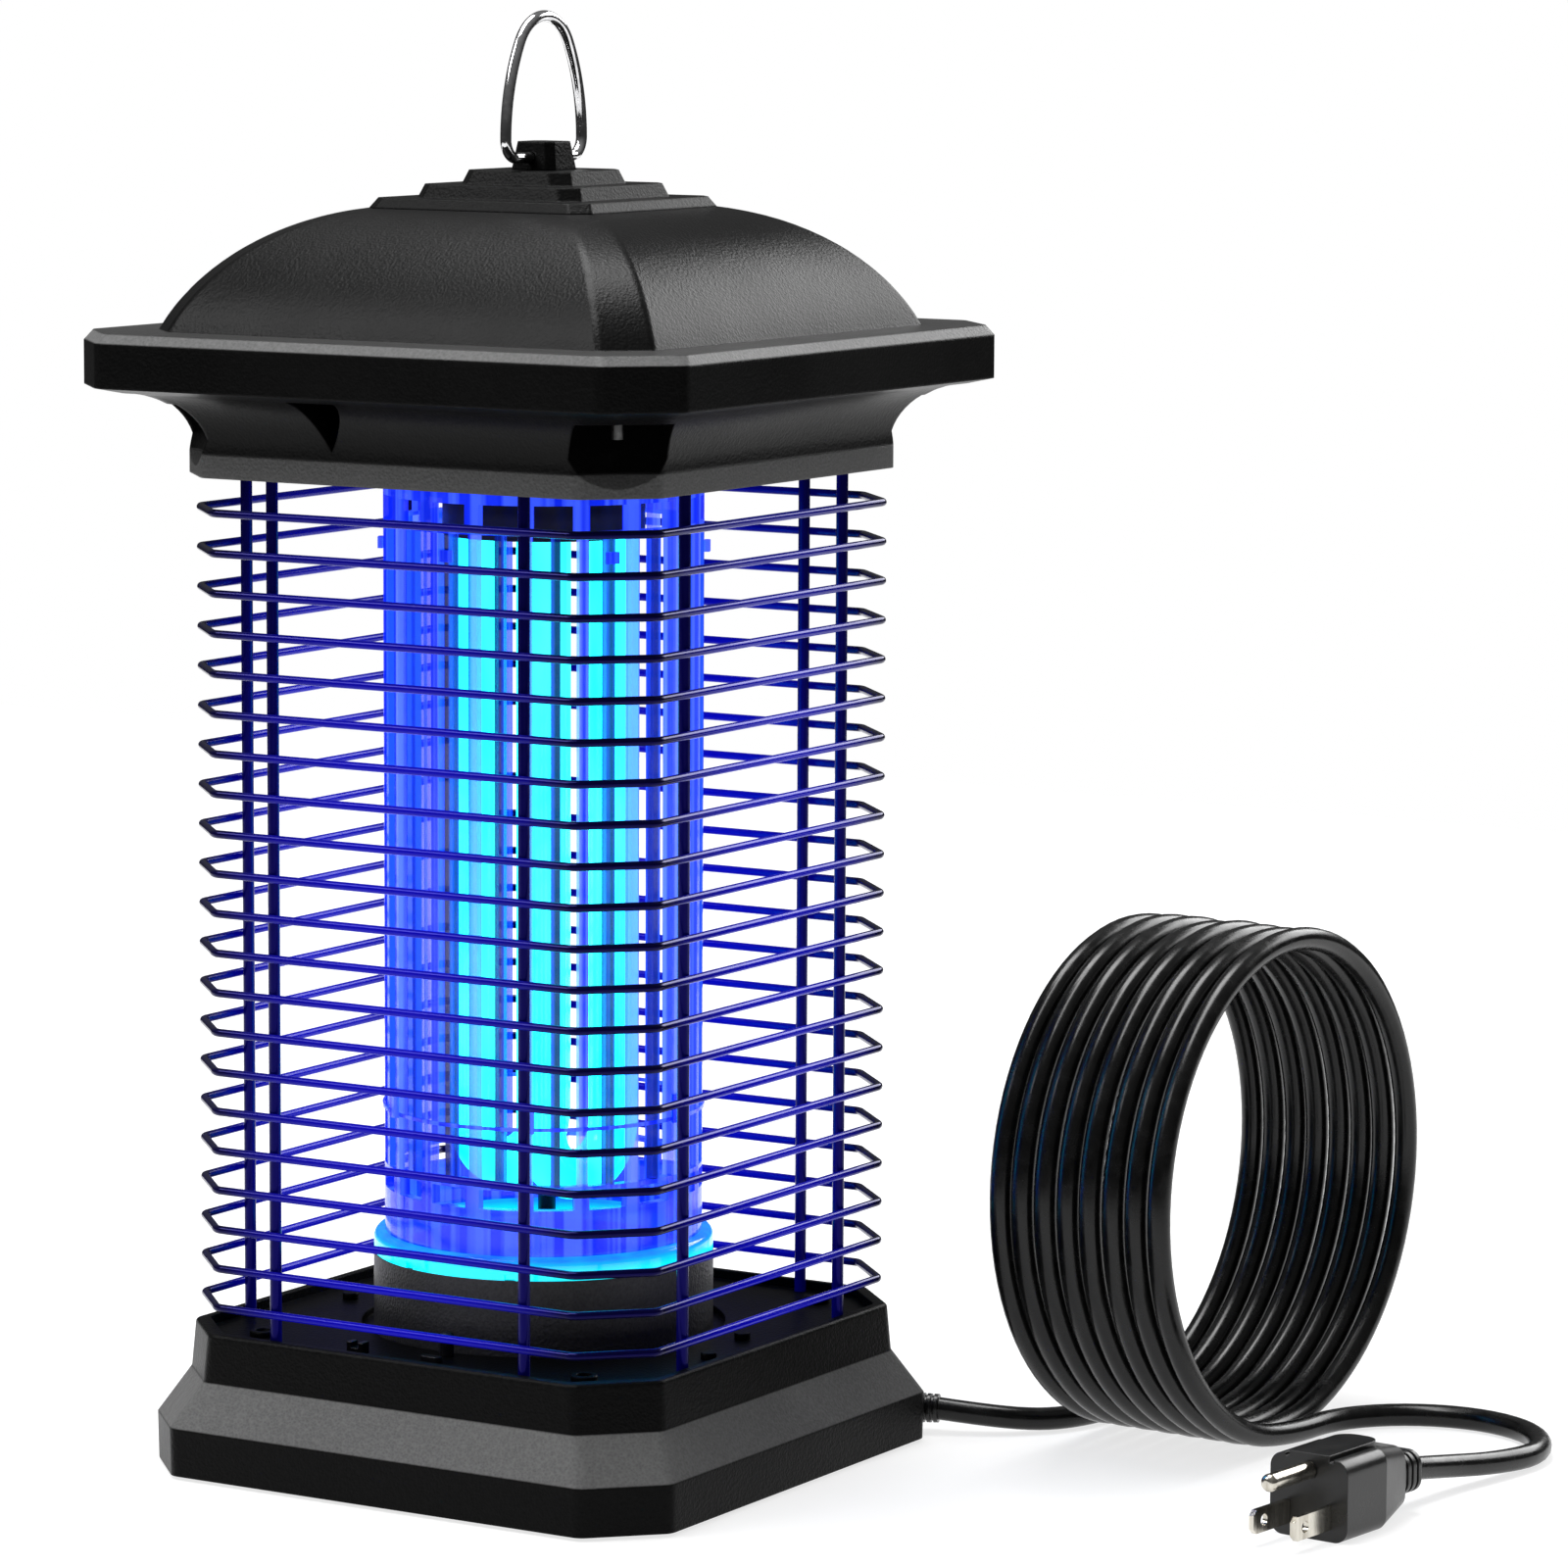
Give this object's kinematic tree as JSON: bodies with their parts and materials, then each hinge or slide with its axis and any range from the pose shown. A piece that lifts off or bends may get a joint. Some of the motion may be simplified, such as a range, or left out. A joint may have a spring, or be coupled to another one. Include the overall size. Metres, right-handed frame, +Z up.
{
  "type": "electric bug zapper",
  "caption": "Hanging or standing electric insect killer: wire guard round a lit grid, domed hood with wire bail, square base, cord and plug.",
  "frame": {"origin": "middle of the footprint, on the surface the feet stand on", "axes": "+Z up; -Y and +X are the two sides seen from the front, +X also the side the coiled cord lies on"},
  "size_m": [0.3376, 0.2891, 0.3947],
  "materials": {
    "black_plastic": "fine leather-grain moulded black plastic, satin",
    "tray_plastic": "plain dark moulded plastic",
    "guard_steel": "dark navy blue gloss coating on steel wire",
    "grid_blue": "translucent blue, glossy",
    "glow_ring": "bright cyan, lit",
    "lamp_glass": "lit cyan discharge tube",
    "dark_fitting": "black, smooth",
    "chrome_wire": "bright, lightly worn",
    "steel_screw": "zinc plated",
    "foot_rubber": "dull black rubber",
    "board": "green circuit board",
    "components": "dark component bodies",
    "cord_jacket": "black cord jacket, satin",
    "plug_moulding": "black moulded plug",
    "plug_brass": "bright plated brass"
  },
  "bodies": {
    "housing": {"base_shell": "black_plastic", "base_deck": "black_plastic", "deck_bosses": "black_plastic", "cup_lock": "dark_fitting", "base_bottom_plate": "tray_plastic", "base_screws": "steel_screw", "rubber_feet": "foot_rubber", "terminal_block": "components", "cord_gland": "plug_moulding", "guard_posts": "guard_steel", "grid_top_band": "grid_blue", "grid_low_band": "grid_blue", "grid_bars_live": "grid_blue", "grid_bars_ground": "grid_blue", "grid_lugs_low": "grid_blue", "grid_lugs_high": "dark_fitting", "grid_tie_ring": "grid_blue", "grid_skirt": "grid_blue", "flange_ring": "glow_ring", "lamp_cup": "black_plastic", "lamp_holder": "dark_fitting", "lead_conduit": "dark_fitting", "hood_collar": "black_plastic", "hood_roof": "black_plastic", "hood_screws": "steel_screw", "hood_neck": "black_plastic", "hanger_block": "black_plastic", "circuit_board": "board", "board_pillars": "tray_plastic", "transformer": "components", "capacitors": "components", "cord_lead": "cord_jacket", "cord_coil": "cord_jacket", "cord_tail": "cord_jacket", "plug_body": "plug_moulding", "plug_blades": "plug_brass", "plug_ground_pin": "plug_brass", "lamp_tube_1": "lamp_glass", "lamp_tube_2": "lamp_glass", "guard_side_front": "guard_steel", "guard_side_right": "guard_steel", "guard_side_back": "guard_steel", "guard_side_left": "guard_steel", "guard_corner_1": "guard_steel", "guard_corner_2": "guard_steel", "guard_corner_3": "guard_steel", "guard_corner_4": "guard_steel"},
    "ring": {"hanging_ring": "chrome_wire"},
    "tray": {"collection_tray": "tray_plastic"}
  },
  "joints": [
    {"name": "ring_swing", "type": "hinge", "parent": "housing", "child": "ring", "pos_m": [0, 0, 0.3555], "axis": [0, 1, 0], "range_deg": [-90, 90]},
    {"name": "tray_twist", "type": "hinge", "parent": "housing", "child": "tray", "pos_m": [0, 0, 0.003], "axis": [0, 0, 1], "range_deg": [0, 28]}
  ]
}
